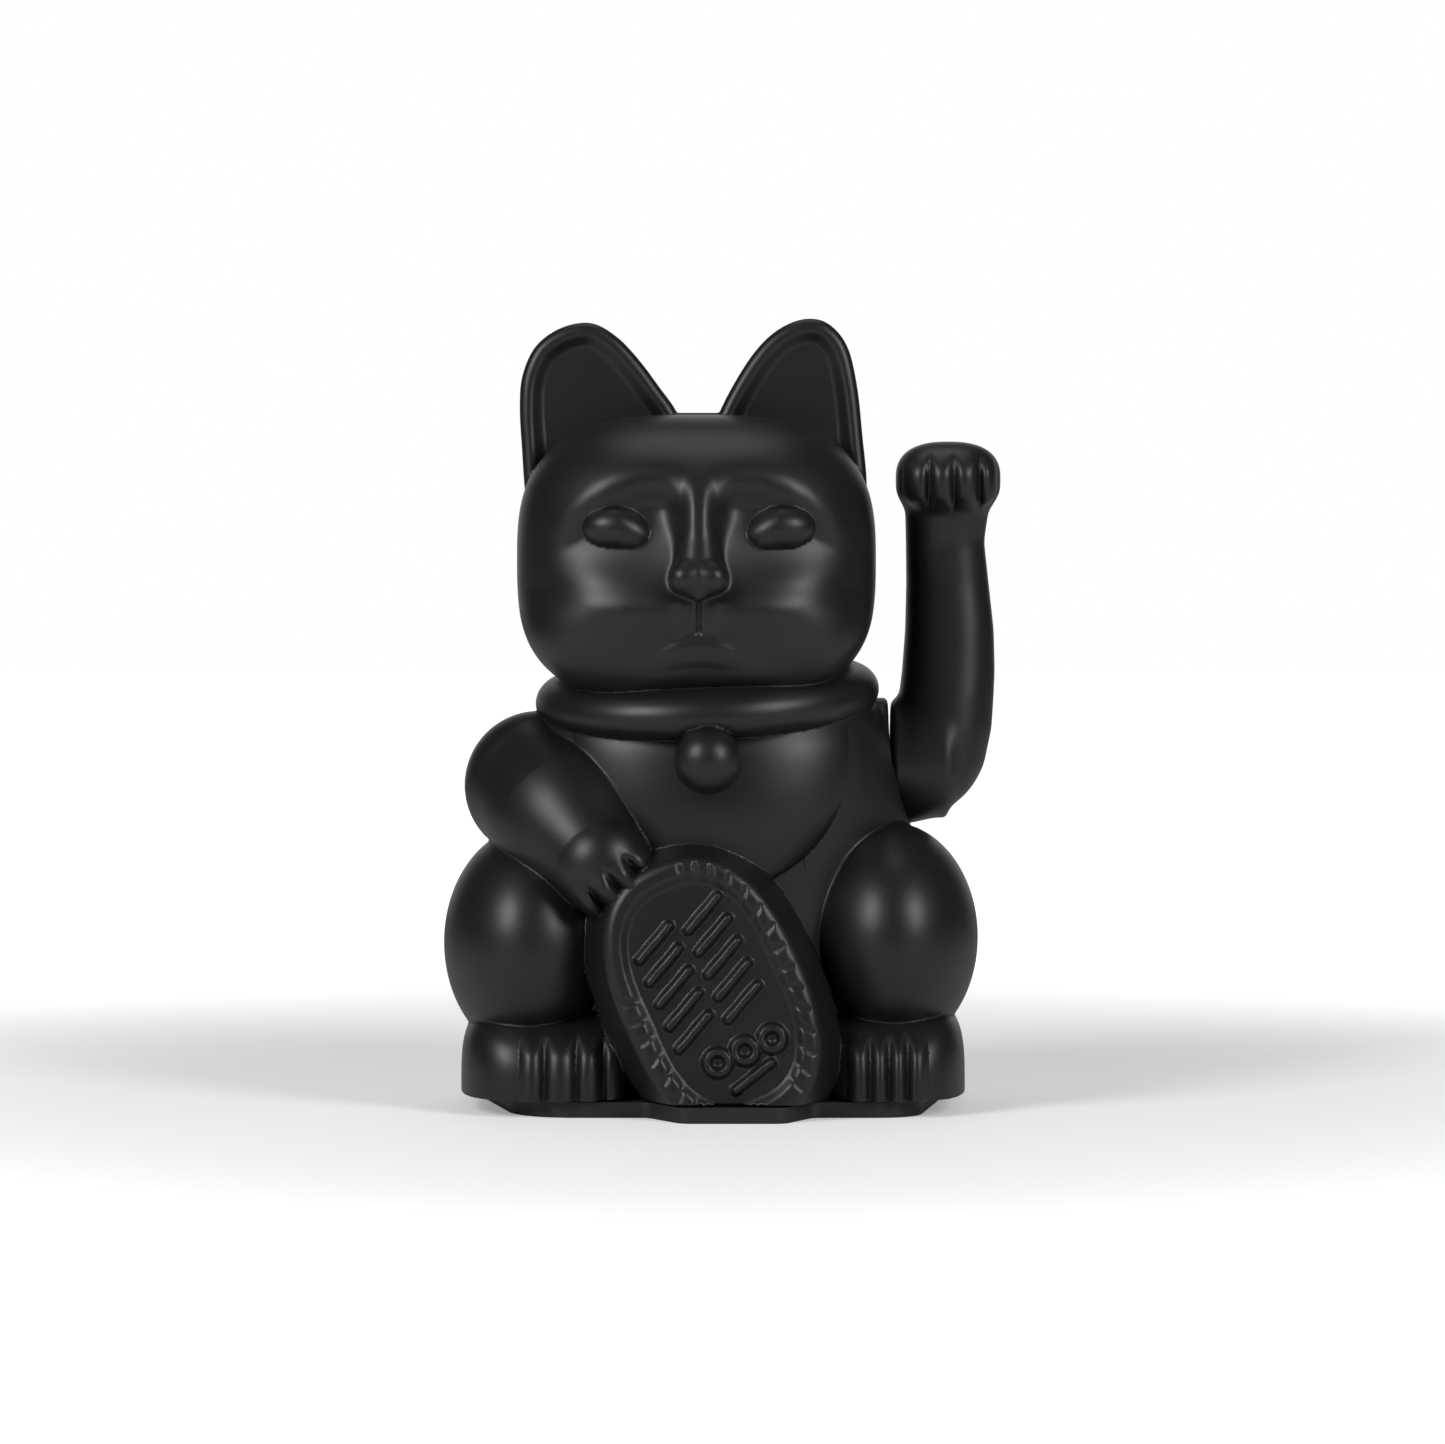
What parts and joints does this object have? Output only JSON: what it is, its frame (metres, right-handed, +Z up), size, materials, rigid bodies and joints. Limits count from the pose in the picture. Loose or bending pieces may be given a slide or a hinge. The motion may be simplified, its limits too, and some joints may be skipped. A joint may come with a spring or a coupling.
{
  "type": "beckoning cat figurine",
  "caption": "Seated beckoning cat in satin black plastic, one paw on an oval coin and the other arm raised to wave from a pivot at the shoulder.",
  "frame": {"origin": "on the flat underside that the cat rests on, under the middle of the body", "axes": "+Z up, the cat faces -Y, its waving arm is on +X"},
  "size_m": [0.1054, 0.084, 0.1498],
  "materials": {
    "shell": "satin black ABS, softly polished mould surface",
    "arm_shell": "satin black ABS, softly polished mould surface",
    "base": "black ABS, fine spark-eroded texture",
    "inner_plastic": "natural white ABS",
    "bobbin": "natural nylon",
    "copper_wire": "enamelled copper wire",
    "steel": "bright steel",
    "zinc_steel": "zinc plated steel",
    "nickel_contact": "nickel plated steel strip",
    "magnet": "nickel plated neodymium",
    "board": "phenolic paper board",
    "component_black": "moulded epoxy",
    "capacitor_can": "plastic sleeve",
    "resistor_body": "lacquered",
    "cell_jacket": "plain printed jacket with no lettering",
    "red_insulation": "PVC",
    "black_insulation": "PVC",
    "switch_body": "moulded nylon"
  },
  "bodies": {
    "cat_body": {"front_shell": "shell", "rear_shell": "shell", "base_plate": "base", "drive_bracket": "inner_plastic", "coil_bobbin": "bobbin", "coil_winding": "copper_wire", "circuit_board": "board", "drive_transistor": "component_black", "capacitor": "capacitor_can", "resistors": "resistor_body", "battery_cell": "cell_jacket", "positive_contact": "nickel_contact", "negative_contact": "nickel_contact", "contact_spring": "nickel_contact", "red_lead": "red_insulation", "black_lead": "black_insulation", "switch_housing": "switch_body", "base_screws": "zinc_steel", "bracket_screws": "zinc_steel", "board_screws": "zinc_steel"},
    "waving_arm": {"arm_front_half": "arm_shell", "arm_rear_half": "arm_shell", "axle": "steel", "axle_clip": "steel", "swing_lever": "inner_plastic", "counterweight": "zinc_steel", "drive_magnet": "magnet"},
    "battery_door": {"battery_door": "base"},
    "switch_slider": {"switch_slider": "switch_body"}
  },
  "joints": [
    {"name": "arm_swing", "type": "hinge", "parent": "cat_body", "child": "waving_arm", "pos_m": [0.034, 0.005, 0.065], "axis": [1, 0, 0], "range_deg": [-20, 20]},
    {"name": "battery_door_slide", "type": "slide", "parent": "cat_body", "child": "battery_door", "axis": [0, 1, 0], "range_m": [0, 0.06]},
    {"name": "switch_slide", "type": "slide", "parent": "cat_body", "child": "switch_slider", "axis": [0, 1, 0], "range_m": [0, 0.002]}
  ]
}
